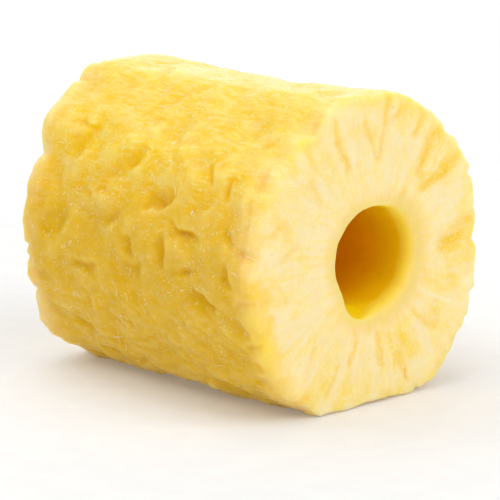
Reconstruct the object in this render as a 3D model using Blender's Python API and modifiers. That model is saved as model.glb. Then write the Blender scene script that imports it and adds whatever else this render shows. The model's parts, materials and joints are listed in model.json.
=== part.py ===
"""A peeled, cored pineapple, lying on one of its peel cuts.

The flesh is one solid. It starts as a turned blank with the bore that a corer leaves. Its outside
is then brought in to the flat strokes of the peeling knife, and hollowed where the eyes grew.
Metres, +Z up. The bore runs along Y and the front cut face is at -Y. The origin is on the resting
cut, straight below the middle of the bore.
"""

import math

import bmesh
import bpy
import numpy as np

MM = 0.001

# Driving sizes
LENGTH = 110.0 * MM
BORE_RADIUS = 16.0 * MM
REST_HEIGHT = 46.9 * MM  # the bore's axis above the resting cut
BLANK_RADIUS = 50.0 * MM  # the blank's outside, before it is peeled
RIM_ROUNDING = 1.6 * MM  # where the outside meets a cut face
MOUTH_ROUNDING = 1.3 * MM  # where the bore meets a cut face

# Facets of the blank
SEGMENTS_AROUND = 84
STEPS_ALONG_SIDE = 30
STEPS_ALONG_BORE = 8
STEPS_ACROSS_FACE = 4
STEPS_PER_ROUNDING = 2

# Strokes of the peeling knife, each a long shallow cut along the fruit: the direction it faces, in
# degrees from +X towards +Z, and how far it lies from the bore's axis at the front, at the middle
# and at the back, in millimetres
PEEL_CUTS = (
    (3, 46.5, 46.8, 46.6),
    (39, 48.5, 47.2, 47.6),
    (62, 49.9, 47.3, 47.8),
    (87, 51.2, 49.0, 50.2),
    (128, 50.4, 51.2, 52.4),
    (163, 51.3, 50.6, 49.4),
    (184, 52.6, 51.8, 50.7),
    (210, 51.0, 52.4, 52.5),
    (240, 50.8, 53.2, 53.6),
    (298, 51.3, 51.0, 50.2),
    (316, 52.5, 51.2, 50.0),
    (333, 50.2, 49.0, 48.2),
)
REST_DIRECTION = math.radians(270)  # the way the resting cut faces
CUT_BLEND = 3.0 * MM  # how far the corner between two cuts is rounded
UNCUT_RADIUS = 60.0 * MM  # beyond the reach of every cut
STEEPEST_RAY = math.radians(75)  # rays that leave a cut's direction by more never meet it first

# Relief of the two rims, between one eye and the next: direction and half width in degrees, depth
# and reach along the fruit in millimetres. A negative depth is flesh left standing.
FRONT_RIM = (
    (75, 22, -0.4, 12),
    (120, 7, 4.2, 9),
    (147, 6, 1.8, 12),
    (190, 5, 0.8, 14),
    (250, 16, -0.8, 16),
    (322, 4, 1.6, 9),
    (334, 4, 2.2, 7),
    (17, 7, 1.6, 14),
)
BACK_RIM = (
    (94, 9, -0.3, 12),
    (108, 6, 2.0, 10),
    (151, 7, 2.9, 14),
    (180, 7, -0.7, 10),
    (191, 5, 1.3, 10),
    (206, 4, 2.1, 9),
    (220, 15, -2.6, 16),
    (233, 8, 4.6, 10),
    (318, 6, 2.2, 10),
    (20, 7, 2.0, 12),
    (66, 6, 1.8, 12),
)

# Hollows where the eyes were, on the spirals that fruit grows in
EYES = 76
GOLDEN_ANGLE = math.pi * (3.0 - math.sqrt(5.0))
EYE_SEED = 7
EYE_WIDTH = (6.0 * MM, 9.5 * MM)  # half width, least and most
EYE_DEPTH = (0.5 * MM, 1.9 * MM)
EYE_DRIFT_AROUND = 3.5 * MM  # how far an eye may stray from its place on the spiral
EYE_DRIFT_ALONG = 1.0 * MM

# A chip where the corer broke out of the front mouth
CHIP_DIRECTION = math.radians(236)
CHIP_HALF_WIDTH = math.radians(24)
CHIP_RISE = 3.2 * MM
CHIP_DEPTH = 6.0 * MM

FLESH_COLOUR = (0.83, 0.50, 0.045, 1.0)
FLESH_ROUGHNESS = 0.35
FLESH_SUBSURFACE = 0.3
SHARP_EDGE = math.radians(50)  # edges folded by more are shaded sharp


def clear_scene():
    for old in list(bpy.data.objects):
        bpy.data.objects.remove(old, do_unlink=True)


def smooth_min(a, b, reach):
    """The smaller of a and b, rounded off where they differ by less than reach."""
    h = np.clip(0.5 + 0.5 * (b - a) / reach, 0.0, 1.0)
    return b + (a - b) * h - reach * h * (1.0 - h)


def bump(offset):
    """1 at an offset of 0, falling smoothly to 0 at an offset of 1 and beyond."""
    return (1.0 - np.clip(offset, 0.0, 1.0) ** 2) ** 2


def turn_between(angle, direction):
    """The smaller turn from direction to angle, in radians, either way."""
    return np.abs((angle - direction + math.pi) % (2.0 * math.pi) - math.pi)


def cut_distance(turn, distance):
    """How far out a flat lies along a ray that leaves the axis at turn from the flat's direction."""
    return distance / np.cos(np.minimum(turn, STEEPEST_RAY))


def stroke_distance(front, middle, back, along):
    """A stroke's distance at along, on the parabola through its three given distances."""
    rise = back - front
    bow = 4.0 * middle - 2.0 * (front + back)
    return (front + rise * along + bow * along * (1.0 - along)) * MM


def peeled_radius(angle, along):
    """The peeled outside's distance from the bore's axis; along runs from 0, front, to 1, back."""
    radius = np.full_like(angle, UNCUT_RADIUS)
    for degrees, *distances in PEEL_CUTS:
        turn = turn_between(angle, math.radians(degrees))
        cut = cut_distance(turn, stroke_distance(*distances, along))
        radius = smooth_min(radius, cut, CUT_BLEND)
    return radius


def rim_relief(angle, from_rim, relief):
    """How deep the relief of one rim lies, at a distance along the fruit from that rim."""
    total = np.zeros_like(angle)
    for degrees, half_width, depth, reach in relief:
        turn = turn_between(angle, math.radians(degrees)) / math.radians(half_width)
        total += depth * MM * bump(turn) * bump(from_rim / (reach * MM))
    return total


def eye_hollows():
    """Each hollow's direction, place along Y, half width and depth, by the golden angle."""
    random = np.random.default_rng(EYE_SEED)
    for k in range(EYES):
        direction = k * GOLDEN_ANGLE + random.uniform(-1.0, 1.0) * EYE_DRIFT_AROUND / BLANK_RADIUS
        along = LENGTH * ((k + 0.5) / EYES - 0.5) + random.uniform(-1.0, 1.0) * EYE_DRIFT_ALONG
        yield direction, along, random.uniform(*EYE_WIDTH), random.uniform(*EYE_DEPTH)


def eye_depth(angle, y):
    depth = np.zeros_like(angle)
    for direction, along, half_width, deepest in eye_hollows():
        around = turn_between(angle, direction) * BLANK_RADIUS
        offset = np.hypot(around, y - along) / half_width
        depth = np.maximum(depth, deepest * bump(offset))
    return depth


def outside_radius(angle, y):
    """The finished outside: peel cuts, eye hollows, the relief of both rims and the resting cut."""
    radius = peeled_radius(angle, y / LENGTH + 0.5) - eye_depth(angle, y)
    radius = radius - rim_relief(angle, y + LENGTH / 2, FRONT_RIM)
    radius = radius - rim_relief(angle, LENGTH / 2 - y, BACK_RIM)
    return np.minimum(radius, cut_distance(turn_between(angle, REST_DIRECTION), REST_HEIGHT))


def mouth_radius(angle, y):
    """The bore's wall, with the chip at the front mouth."""
    width = bump(turn_between(angle, CHIP_DIRECTION) / CHIP_HALF_WIDTH)
    depth = np.clip(1.0 - (y + LENGTH / 2) / CHIP_DEPTH, 0.0, 1.0)
    return BORE_RADIUS + CHIP_RISE * width * depth


def arc(centre_y, centre_radius, radius, start, end, steps):
    """Points (y, radius) of a rounding, without its last point."""
    points = []
    for k in range(steps):
        turn = math.radians(start + (end - start) * k / steps)
        points.append((centre_y + radius * math.cos(turn), centre_radius + radius * math.sin(turn)))
    return points


def line(start, end, steps):
    """Points of a straight run, without its last point."""
    return [
        (start[0] + (end[0] - start[0]) * k / steps, start[1] + (end[1] - start[1]) * k / steps)
        for k in range(steps)
    ]


def blank_profile():
    """The blank's section on one side of its axis, as (y, radius), once round."""
    end = LENGTH / 2
    rim, mouth = RIM_ROUNDING, MOUTH_ROUNDING
    outer, inner = BLANK_RADIUS, BORE_RADIUS
    points = line((-end + rim, outer), (end - rim, outer), STEPS_ALONG_SIDE)
    points += arc(end - rim, outer - rim, rim, 90, 0, STEPS_PER_ROUNDING)
    points += line((end, outer - rim), (end, inner + mouth), STEPS_ACROSS_FACE)
    points += arc(end - mouth, inner + mouth, mouth, 0, -90, STEPS_PER_ROUNDING)
    points += line((end - mouth, inner), (-end + mouth, inner), STEPS_ALONG_BORE)
    points += arc(-end + mouth, inner + mouth, mouth, 270, 180, STEPS_PER_ROUNDING)
    points += line((-end, inner + mouth), (-end, outer - rim), STEPS_ACROSS_FACE)
    points += arc(-end + rim, outer - rim, rim, 180, 90, STEPS_PER_ROUNDING)
    return points


def turned_blank():
    """The profile turned once about Y, as a mesh that is one closed ring."""
    mesh = bpy.data.meshes.new("blank_profile")
    points = blank_profile()
    edges = [(k, (k + 1) % len(points)) for k in range(len(points))]
    mesh.from_pydata([(radius, y, 0.0) for y, radius in points], edges, [])
    profile = bpy.data.objects.new("blank_profile", mesh)
    bpy.context.collection.objects.link(profile)
    screw = profile.modifiers.new("turn", "SCREW")
    screw.axis = "Y"
    screw.steps = screw.render_steps = SEGMENTS_AROUND
    screw.use_merge_vertices = True
    screw.merge_threshold = 0.01 * MM
    turned = profile.evaluated_get(bpy.context.evaluated_depsgraph_get())
    blank = bpy.data.meshes.new_from_object(turned)
    bpy.data.objects.remove(profile, do_unlink=True)
    bpy.data.meshes.remove(mesh)
    return blank


def peel_and_hollow(mesh):
    """Move the blank's points out or in to the fruit's own outside and bore."""
    points = np.empty(len(mesh.vertices) * 3)
    mesh.vertices.foreach_get("co", points)
    x, y, z = points.reshape(-1, 3).T
    angle = np.arctan2(z, x)
    blank = np.hypot(x, z)
    share = (blank - BORE_RADIUS) / (BLANK_RADIUS - BORE_RADIUS)
    radius = BORE_RADIUS + share * (outside_radius(angle, y) - BORE_RADIUS)
    radius = np.maximum(radius, mouth_radius(angle, y))
    moved = np.column_stack((radius * np.cos(angle), y, radius * np.sin(angle) + REST_HEIGHT))
    mesh.vertices.foreach_set("co", moved.ravel())
    mesh.update()


def face_outwards(mesh):
    work = bmesh.new()
    work.from_mesh(mesh)
    bmesh.ops.recalc_face_normals(work, faces=work.faces)
    work.to_mesh(mesh)
    work.free()


def flesh_material():
    material = bpy.data.materials.new("pineapple_flesh")
    material.use_nodes = True
    shader = material.node_tree.nodes["Principled BSDF"]
    shader.inputs["Base Color"].default_value = FLESH_COLOUR
    shader.inputs["Roughness"].default_value = FLESH_ROUGHNESS
    shader.inputs["Metallic"].default_value = 0.0
    shader.inputs["Subsurface Weight"].default_value = FLESH_SUBSURFACE
    return material


def build_pineapple():
    collection = bpy.data.collections.new("peeled_cored_pineapple")
    bpy.context.scene.collection.children.link(collection)
    mesh = turned_blank()
    mesh.name = "pineapple_flesh"
    peel_and_hollow(mesh)
    face_outwards(mesh)
    mesh.materials.append(flesh_material())
    mesh.shade_smooth()
    mesh.set_sharp_from_angle(angle=SHARP_EDGE)
    flesh = bpy.data.objects.new("pineapple_flesh", mesh)
    collection.objects.link(flesh)
    return flesh


clear_scene()
build_pineapple()
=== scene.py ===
"""Looks of the peeled, cored pineapple: one closed mesh of wet flesh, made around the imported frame.

The flesh's large form is measured from the frame's own solid, ray by ray from the bore's axis. Onto
it go torn eye pockets with overhanging lips, fibre relief, ragged rims and the broken bore mouth.
Loose fibres are a second piece. Lengths are in metres unless a name or a comment says otherwise.
Directions around the bore are in degrees from +X towards +Z. "Front" is the cut face at -Y.
"""

import json
import math

import bpy
import numpy as np
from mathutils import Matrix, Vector
from mathutils.bvhtree import BVHTree


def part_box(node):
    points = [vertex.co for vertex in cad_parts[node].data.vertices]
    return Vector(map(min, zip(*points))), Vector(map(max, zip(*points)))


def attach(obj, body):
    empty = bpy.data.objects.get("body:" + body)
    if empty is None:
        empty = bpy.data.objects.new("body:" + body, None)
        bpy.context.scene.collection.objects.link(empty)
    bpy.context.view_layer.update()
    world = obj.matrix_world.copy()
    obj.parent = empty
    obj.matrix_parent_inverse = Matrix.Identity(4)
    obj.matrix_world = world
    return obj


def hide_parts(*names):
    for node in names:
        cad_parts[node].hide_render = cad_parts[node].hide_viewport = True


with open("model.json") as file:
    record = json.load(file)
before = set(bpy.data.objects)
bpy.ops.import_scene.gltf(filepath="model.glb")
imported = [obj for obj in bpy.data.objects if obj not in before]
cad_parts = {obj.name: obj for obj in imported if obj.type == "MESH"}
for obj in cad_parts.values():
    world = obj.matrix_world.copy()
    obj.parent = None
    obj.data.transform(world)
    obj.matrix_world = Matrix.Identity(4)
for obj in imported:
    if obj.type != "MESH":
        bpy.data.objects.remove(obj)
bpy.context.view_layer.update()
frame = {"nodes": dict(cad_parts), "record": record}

MM = 0.001
NODE = "pineapple_flesh"
LOW, HIGH = (np.array(corner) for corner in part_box(NODE))
BORE_BOX = np.array(frame["record"]["physics"]["openings"][0]["box_m"])
AXIS_X, _, AXIS_Z = BORE_BOX.mean(axis=0)
FRONT_Y, BACK_Y = LOW[1], HIGH[1]
LENGTH = BACK_Y - FRONT_Y
MEAN_RADIUS = 50 * MM  # arcs on the outside are laid out at this radius
DEGREE = math.radians(1) * MEAN_RADIUS / MM  # how many mm of such an arc one degree is

# -------- the grid the flesh is made on
AROUND = 576  # points around
SIDE_STEPS = 208
RIM_STEPS = 8
FACE_STEPS = 46
MOUTH_STEPS = 7
BORE_STEPS = 56
TRIANGLES = 192_000  # what the dense grid is thinned to
GRID_MM = 0.54  # the grid's spacing on the side
KEPT_INSIDE = 1e-6  # every point stays this far inside the frame's box
# numbers that each point carries for the material to read; hollow, ridge, deep and ring place painted
# shade and highlight
MARKS = ("hollow", "ridge", "cream", "deep", "ring", "amber", "gold", "pale", "top", "lemon")

# -------- zones
# each a direction and a half width, in degrees
TOP_CUT = (100, 34)  # the smooth knife cut on top
REST_CUT = (270, 19)  # the cut that the fruit lies on
CALM_SIDE = (138, 56)  # less torn than the rest
SHALLOW_SIDE = (150, 22)  # with shallower pockets
PALE_SIDE = (170, 32)  # paler near the front
NEAR_SIDE = (173, 45)  # where the pockets are listed one by one
WHOLE_RIM = (50, 22)  # where no eye pocket breaks the front rim
NEAR_FRONT = -44  # such a pocket's place along Y, in mm from the middle, or less
SOFT_FRONT_RIM = (185, 60)  # rounded most
SOFT_BACK_RIM = (20, 80)
SOFT_MOUTH = (345, 85)
RIBBED_MOUTH = (284, 26)  # where the edge of the front mouth has fine ribs
LEMON_RIM = (202, 48)  # a front rim with a clear lemon band

EYES = 88
GOLDEN_TURN = math.degrees(math.pi * (3 - math.sqrt(5)))
SMALL_PITS = 170
EYE_SEED, PIT_SEED, BACK_FACE_SEED, STRAND_SEED = 11, 23, 37, 61

# -------- the bore
# the mark "deep" also paints the bore's wall deeper amber further in, as painted shade
MOUTH_DEEP = 0.1  # the mark "deep" where the bore's wall begins
DARKEST_MM = 34  # that mark rises by one for each such length into the bore
RIBS_AROUND = 62  # as many as would go round the whole mouth
# the chip in the front mouth: direction and half width (degrees), rise and reach into the bore (mm)
CHIP_DIRECTION, CHIP_HALF_WIDTH, CHIP_RISE, CHIP_REACH = 249, 36, 3.4, 8.5

# -------- eye pockets of the near side
# direction (degrees), place along Y (mm from the middle), length, width, depth (mm), heading of the
# steep side (degrees: 0 is to the front, 90 to rising direction), overhang of its lip (mm), bend
POCKETS = (
    (174.5, 37.5, 16, 13, 2, 45, 0.5, 0.45),
    (163, 22.5, 11, 4, 1.1, -65, 0.3, 0.3),
    (160.5, 16, 7, 3, 0.9, -85, 0.3, 0.2),
    (169.5, 10.5, 9, 5, 1.1, 60, 0.3, 0.2),
    (162, 7.5, 5, 2, 0.8, -50, 0.3, 0.2),
    (157.5, -9, 16, 10, 2.4, 68, 0.8, 0.4),
    (170, -23.5, 15, 6, 2.6, -76, 1.1, 0.15),
    (177, -14, 10, 7, 1.9, -5, 0.7, 0.2),
    (181.5, -26.5, 10, 3, 1.3, 80, 0.5, 0.5),
    (191.8, -33, 13, 8, 2.5, -62, 1, 0),
    (196.5, -46, 11, 6, 1.2, -50, 0.4, 0.1),
    (179.5, -45.3, 6.5, 3.2, 1.5, -15, 0.4, 0.1),
    (166.5, -43.5, 9, 3.5, 1.4, -55, 0.5, 0.1),
    (189, 22.5, 15, 5, 1.9, -88, 0.35, 0.25),
    (177.8, 1.5, 8, 5, 1.6, -42, 0.5, 0.2),
    (184, 7.5, 8, 3.5, 0.8, 0, 0.2, 0.1),
    (196.5, 45, 9, 5, 1.4, -90, 0.3, 0.2),
    (147.5, -30, 9, 4, 1.3, -35, 0.4, 0.2),
    (150.5, -38.5, 6, 3.5, 1.2, 0, 0.3, 0.2),
    (157.5, -32, 4, 2.5, 0.9, 60, 0.3, 0.2),
    (147, 5.5, 11, 9, 2, 55, 0.5, 0.4),
    (147.5, 33, 12, 9, 1.4, 35, 0.3, 0.3),
    (140, 33, 13, 3, 1.1, -78, 0.35, 0.1),
    (185, -3, 9, 6, 0.9, 30, 0.2, 0.2),
    (207, 5, 5, 4, 1.2, -40, 0.4, 0.2),
    (208.5, 12, 7, 3, 1, -80, 0.3, 0.1),
    (213, 0, 10, 2.5, 0.9, 65, 0.3, 0.2),
    (201, 22, 6, 4, 0.9, 0, 0.25, 0.1),
    (201.5, -37, 5, 4, 0.8, -10, 0.2, 0.1),
    (215, 32, 12, 4, 1.1, -70, 0.3, 0.1),
    (131.5, -44, 7, 4.5, 1.4, 60, 0.4, 0.3),
    (117, 21, 12, 5, 0.7, 70, 0.2, 0.2),
    (122, -29, 12, 3, 0.7, 80, 0.25, 0.1),
    (156, -51, 5, 4, 1.2, -20, 0.3, 0.2),
    (173, -50.5, 7, 3, 1.2, -30, 0.5, 0.1),
)
# lobes and tongues that stand proud between them, told the same way, with a height for the depth
LOBES = (
    (175.5, -23.5, 12, 12, 1, 178, 0.8, 0.15),
    (165.5, 17, 13, 8, 0.9, 80, 0.2, 0.3),
    (155, -12, 9, 7, 0.5, 75, 0.2, 0.3),
    (187, 38, 10, 8, 0.7, 60, 0.3, 0.3),
    (168, 0, 11, 8, 0.5, 20, 0.2, 0.2),
    (152, 20, 12, 9, 0.6, 60, 0.2, 0.3),
    (204, -20, 14, 9, 0.5, -30, 0.2, 0.2),
    (114.5, 52, 9, 8, 1.1, 180, 0.3, 0.2),
    (124.5, 52, 8, 8, 1.2, 180, 0.3, 0.2),
    (137, 51, 9, 8, 1.2, 180, 0.3, 0.2),
    (158, 50, 16, 10, 0.9, 180, 0.2, 0.2),
    (212, 48, 14, 9, 0.8, 180, 0.2, 0.2),
    (230, -19, 6, 6, 1.6, 85, 0.3, 0.2),
)


# -------- small tools
def turn_from(degrees, direction):
    """The signed turn from direction to degrees, within -180 to 180."""
    return (degrees - direction + 180) % 360 - 180


def smooth(low, high, value):
    t = np.clip((value - low) / (high - low), 0, 1)
    return t * t * (3 - 2 * t)


def bump(offset):
    """1 at 0, falling smoothly to 0 at 1 and beyond."""
    return (1 - np.clip(np.abs(offset), 0, 1) ** 2) ** 2


def bump_at(degrees, direction, half_width):
    """1 in this direction, falling smoothly to 0 at the half width."""
    return bump(turn_from(degrees, direction) / half_width)


def inside(degrees, zone):
    """Whether a direction lies in a zone."""
    return abs(turn_from(degrees, zone[0])) < zone[1]


def in_zone(degrees, zone):
    """1 well inside a zone of directions, 0 outside it."""
    middle, half_width = zone
    return 1 - smooth(0.7, 1.15, np.abs(turn_from(degrees, middle)) / half_width)


def lattice_random(cells, seed, channel):
    """A number from 0 to 1 for each whole-number cell, the same for the same cell and seed."""
    x, y, z = (cells[..., k].astype(np.int64) for k in range(3))
    h = x * 374761393 + y * 668265263 + z * 974634533 + seed * 40503 + channel * 1274126177
    h = h & 0xFFFFFFFF
    h = ((h ^ (h >> 13)) * 1103515245) & 0xFFFFFFFF
    h = ((h ^ (h >> 15)) * 2246822519) & 0xFFFFFFFF
    return ((h ^ (h >> 16)) & 0xFFFFFF) / float(0x1000000)


def noise(points, size, seed):
    """Smooth noise from about -1 to 1, with features of the given size (one number or three)."""
    p = points / np.asarray(size)
    base = np.floor(p)
    f = p - base
    base = base.astype(np.int64)
    w = f * f * f * (f * (f * 6 - 15) + 10)
    total = np.zeros(len(points))
    for corner in range(8):
        offset = np.array([corner & 1, (corner >> 1) & 1, (corner >> 2) & 1])
        cells = base + offset
        weight = np.prod(np.where(offset == 1, w, 1 - w), axis=1)
        slope = [lattice_random(cells, seed, k) * 2 - 1 for k in range(3)]
        d = f - offset
        total += weight * (slope[0] * d[:, 0] + slope[1] * d[:, 1] + slope[2] * d[:, 2])
    return total * 1.9


def noise_on(points, size_mm, seed, layers=1):
    """Noise at points in metres, of any shape, with finer and fainter layers on it."""
    flat = points.reshape(-1, 3) / MM
    total = np.zeros(len(flat))
    for k in range(layers):
        total += noise(flat, np.asarray(size_mm) / 2**k, seed + 17 * k) / 2**k
    return total.reshape(points.shape[:-1])


def blurred(grid, sigma):
    """Gaussian blur, sigma in steps, of a grid that closes on itself around but not along."""
    reach = int(3 * sigma) + 1
    weights = np.exp(-0.5 * (np.arange(-reach, reach + 1) / sigma) ** 2)
    weights /= weights.sum()
    around = sum(w * np.roll(grid, k, axis=0) for k, w in zip(range(-reach, reach + 1), weights))
    padded = np.pad(around, ((0, 0), (reach, reach)), mode="edge")
    columns = grid.shape[1]
    return sum(w * padded[:, k:k + columns] for k, w in enumerate(weights))


# -------- the frame's surface
def surface_tree(mesh):
    """The mesh's triangles, as a tree that rays can be cast at."""
    mesh.calc_loop_triangles()
    return BVHTree.FromPolygons([v.co for v in mesh.vertices], [t.vertices for t in mesh.loop_triangles])


def way_out(degrees):
    """The unit vector that leads from the bore's axis in this direction."""
    angle = math.radians(degrees)
    return Vector((math.cos(angle), 0, math.sin(angle)))


def measure_outside(tree, degrees, ys):
    """The solid's outer radius on a grid of directions and places along Y, from rays."""
    start = 0.62 * MEAN_RADIUS  # between the bore and the outside
    radii = np.zeros((len(degrees), len(ys)))
    for i, angle in enumerate(degrees):
        out = way_out(angle)
        for j, y in enumerate(ys):
            origin = Vector((AXIS_X, y, AXIS_Z)) + out * start
            hit, _, _, reach = tree.ray_cast(origin, out)
            radii[i, j] = start + (reach if hit else 0)
    return radii


def measure_bore(tree):
    """The bore's radius at mid length, from a ray straight up from its axis."""
    middle = Vector((AXIS_X, (FRONT_Y + BACK_Y) / 2, AXIS_Z))
    return tree.ray_cast(middle, Vector((0, 0, 1)))[3]


class Outside:
    """The frame's outer skin, smoothed over its facets, read at any direction and place."""

    ROUNDED_RIM = 2.2 * MM  # the frame's own rims are rounded within this
    STATIONS = 106
    FACET_BLUR = 1.1  # in steps of the grid

    def __init__(self, tree):
        self.ys = np.linspace(FRONT_Y + self.ROUNDED_RIM, BACK_Y - self.ROUNDED_RIM, self.STATIONS)
        measured = measure_outside(tree, np.arange(0, 360, 1), self.ys)
        self.grid = blurred(measured, self.FACET_BLUR)

    def radius(self, degrees, y):
        i = np.asarray(degrees) % 360
        i0 = np.floor(i).astype(int) % 360
        i1 = (i0 + 1) % 360
        past_i = i - np.floor(i)
        j = np.clip((y - self.ys[0]) / (self.ys[1] - self.ys[0]), 0, len(self.ys) - 1.001)
        j0 = np.floor(j).astype(int)
        past_j = j - j0
        low = self.grid[i0, j0] * (1 - past_i) + self.grid[i1, j0] * past_i
        high = self.grid[i0, j0 + 1] * (1 - past_i) + self.grid[i1, j0 + 1] * past_i
        return low * (1 - past_j) + high * past_j


solid_tree = surface_tree(frame["nodes"][NODE].data)
outside = Outside(solid_tree)
BORE_RADIUS = measure_bore(solid_tree)


def place(degrees, y, radius):
    """The points at these directions, places along Y and radii about the bore's axis."""
    angle = np.radians(degrees)
    x = AXIS_X + radius * np.cos(angle)
    z = AXIS_Z + radius * np.sin(angle)
    return np.stack([x, y + 0 * x, z], axis=-1)


# -------- pockets
def eye_pockets():
    """Pockets for the sides that POCKETS doesn't cover, one to each eye of the fruit's spirals."""
    draw = np.random.default_rng(EYE_SEED)
    rows = []
    for k in range(EYES):
        direction = (k * GOLDEN_TURN + draw.normal(0, 2.5)) % 360
        along = (LENGTH / MM) * ((k + 0.5) / EYES - 0.5) + draw.normal(0, 1.5)
        length = draw.uniform(8, 16)
        width = length * draw.uniform(0.38, 0.8)
        depth = draw.uniform(1, 2.5)
        heading = draw.uniform(-80, 70)
        overhang = draw.uniform(0.15, 1)
        bend = draw.uniform(-0.1, 0.5)
        at_whole_rim = along < NEAR_FRONT and inside(direction, WHOLE_RIM)
        if not inside(direction, NEAR_SIDE) and not at_whole_rim:
            rows.append((direction, along, length, width, depth, heading, overhang, bend))
    return rows


def small_pits():
    """Shallow dents and nicks, all over the outside."""
    draw = np.random.default_rng(PIT_SEED)
    rows = []
    for _ in range(SMALL_PITS):
        length = draw.uniform(3, 9)
        rows.append((draw.uniform(0, 360), draw.uniform(-54, 54), length,
                     length * draw.uniform(0.35, 0.8), draw.uniform(0.15, 0.6),
                     draw.choice((-1, 1)) * draw.uniform(45, 110), draw.uniform(0.05, 0.4),
                     draw.uniform(0, 0.5)))
    return rows


def carve(pockets, degrees, y_mm, warp):
    """What pockets give each point: depth, raised lip, lip shift around and along (mm), and crease.

    The crease is the narrow shadow under a steep side, 0 to 1.
    """
    depth, lip, shift_around, shift_along, crease = (np.zeros(degrees.shape) for _ in range(5))
    for direction, along, length, width, deep, heading, overhang, bend in pockets:
        around = turn_from(degrees, direction) * DEGREE
        near = (np.abs(around) < length + 3) & (np.abs(y_mm - along) < length + 3)
        ds = around[near] + warp[0][near]
        dy = y_mm[near] - along + warp[1][near]
        sin_h, cos_h = math.sin(math.radians(heading)), math.cos(math.radians(heading))
        v = (ds * cos_h + dy * sin_h) / (length / 2)
        u = (ds * sin_h - dy * cos_h) / (width / 2) + bend * v * v
        ends = np.clip(1 - (0.8 * v) ** 2, 0, 1) ** 1.4
        wall = 0.1 + 0.52 * float(smooth(0.25, 0.8, overhang))  # where the steep side starts
        hollow = smooth(-1.3, wall - 0.05, u) * (1 - smooth(wall - 0.05, 1.15, u)) * ends
        brow = smooth(wall, 1.1, u) * (1 - smooth(1.1, 2.3, u)) * ends
        depth[near] = np.maximum(depth[near], deep * hollow)
        lip[near] = np.maximum(lip[near], 0.35 * overhang * brow)
        shift_around[near] -= overhang * sin_h * brow
        shift_along[near] += overhang * cos_h * brow
        from_wall = (u - wall - 0.15) * (width / 2)
        shadow = bump(from_wall / 1.3) * ends * float(smooth(0.3, 1.8, deep))
        crease[near] = np.maximum(crease[near], shadow)
    return depth, lip, shift_around, shift_along, crease


# -------- relief of the torn flesh
def ledges(points, seed):
    """Overlapping torn layers: slow rises that end in steep, wandering edges, 0 to 1."""
    level = 2 * noise_on(points, (8, 12, 8), seed) + 0.25 * noise_on(points, 2.4, seed + 5)
    part = level - np.floor(level)
    return np.where(part < 0.8, smooth(0, 0.8, part), 1 - smooth(0.8, 1, part))


def side_relief(points, degrees):
    """Height in mm of everything on the side but the pockets and lobes."""
    top = in_zone(degrees, TOP_CUT)
    rest = in_zone(degrees, REST_CUT)
    torn = (1 - 0.72 * top) * (1 - 0.85 * rest)
    patches = smooth(-0.3, 0.4, noise_on(points, 15, 151))
    rough = 1 - in_zone(degrees, CALM_SIDE)
    lumps = (0.6 + 0.15 * rough) * noise_on(points, 9, 101) + 0.18 * noise_on(points, 4.2, 131)
    torn_layers = (0.26 + 0.36 * rough) * np.maximum(patches, rough) * (ledges(points, 171) - 0.5)
    fine = 0.035 * noise_on(points, 1.7, 211, 2)
    streaks = (0.03 + 0.05 * top) * noise_on(points, (1.6, 10, 1.6), 231, 2)
    return torn * (lumps + torn_layers) + fine * (1 - 0.6 * rest) + streaks


# -------- marks of the two cut faces
# each a stroke: direction (degrees) and radius (mm) at its start and end, width (mm), strength
BACK_FANS = 19  # fans of strokes on the back face
FRONT_AMBER = (
    (94.5, 43, 92, 36, 1.3, 0.7), (92, 37, 87, 30, 1.1, 0.5), (82.5, 49, 83.3, 41, 1.8, 0.7),
    (83.3, 41, 85.5, 30, 1.2, 0.6), (110.5, 48, 111.7, 41, 1.5, 0.6), (111.7, 41, 110, 31, 1.7, 0.8),
    (53.3, 46, 53.7, 40, 2.6, 0.8), (53.7, 40, 51, 31, 2.4, 1), (35.2, 45, 37, 38, 3.2, 1),
    (37, 38, 41.7, 28, 2.2, 0.9), (57.2, 23.5, 56.7, 20.4, 1.4, 0.5), (6.8, 42, 3.7, 38, 4, 0.8),
    (3.7, 38, 359, 32, 4.8, 1), (62.5, 47, 64.9, 40, 1.8, 0.7), (74, 47, 78, 43, 1.6, 0.5),
    (196.2, 43.7, 204, 50.5, 1.2, 0.9), (187.6, 46.8, 196, 32, 0.9, 0.5),
    (250.2, 22.8, 254.6, 27.2, 1.6, 0.6), (254.6, 27.2, 253.2, 33.6, 1.3, 0.7),
    (275.2, 24.9, 276.8, 35, 1.5, 0.8), (290.8, 41, 291, 44.5, 1.3, 1.4),
    (290, 34, 290.6, 42, 2.2, 0.6), (211, 28, 217, 38, 0.8, 0.4), (245.9, 34.3, 243.8, 46, 1.1, 0.6),
    (331.1, 21.5, 326.6, 28, 0.7, 0.4), (310, 27, 316, 38, 1.6, 0.5), (166, 33, 172, 38, 2, 0.4),
    (155, 40, 163, 45, 1.8, 0.5), (1.5, 37, 358.5, 31, 4.6, 1), (134, 38, 138, 30, 2.2, 0.5),
    (222, 33, 231, 47, 1.2, 0.4),
)
FRONT_GOLD = (
    (48, 44, 44, 36, 6.5, 0.8), (41, 43, 43, 33, 6, 0.7), (356, 44, 350, 41, 6, 0.8),
    (352, 36, 340, 33, 4, 0.5), (340, 38, 336, 26, 5.5, 0.8), (336, 44, 328, 42, 4, 0.5),
    (298, 37, 293, 28, 5, 0.9), (288, 37, 287, 27, 4, 0.8), (286, 45, 280, 47, 5, 0.6),
    (72, 46, 66, 48, 5, 0.6), (96, 48, 82, 49, 3, 0.5), (126, 48, 129, 40, 4.5, 0.6),
    (182, 50, 189, 44, 4.5, 0.9), (187, 47, 192, 42, 3, 0.5), (152, 49, 157, 41, 4, 0.6),
    (2, 43, 356, 37, 6, 0.7), (203, 50, 212, 46, 4, 0.5), (236, 50, 240, 42, 4.5, 0.6),
    (252, 47, 256, 40, 5, 0.5), (264, 46, 268, 38, 4, 0.4), (315, 44, 322, 34, 5, 0.5),
    (20, 46, 14, 40, 4, 0.6),
)
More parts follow.
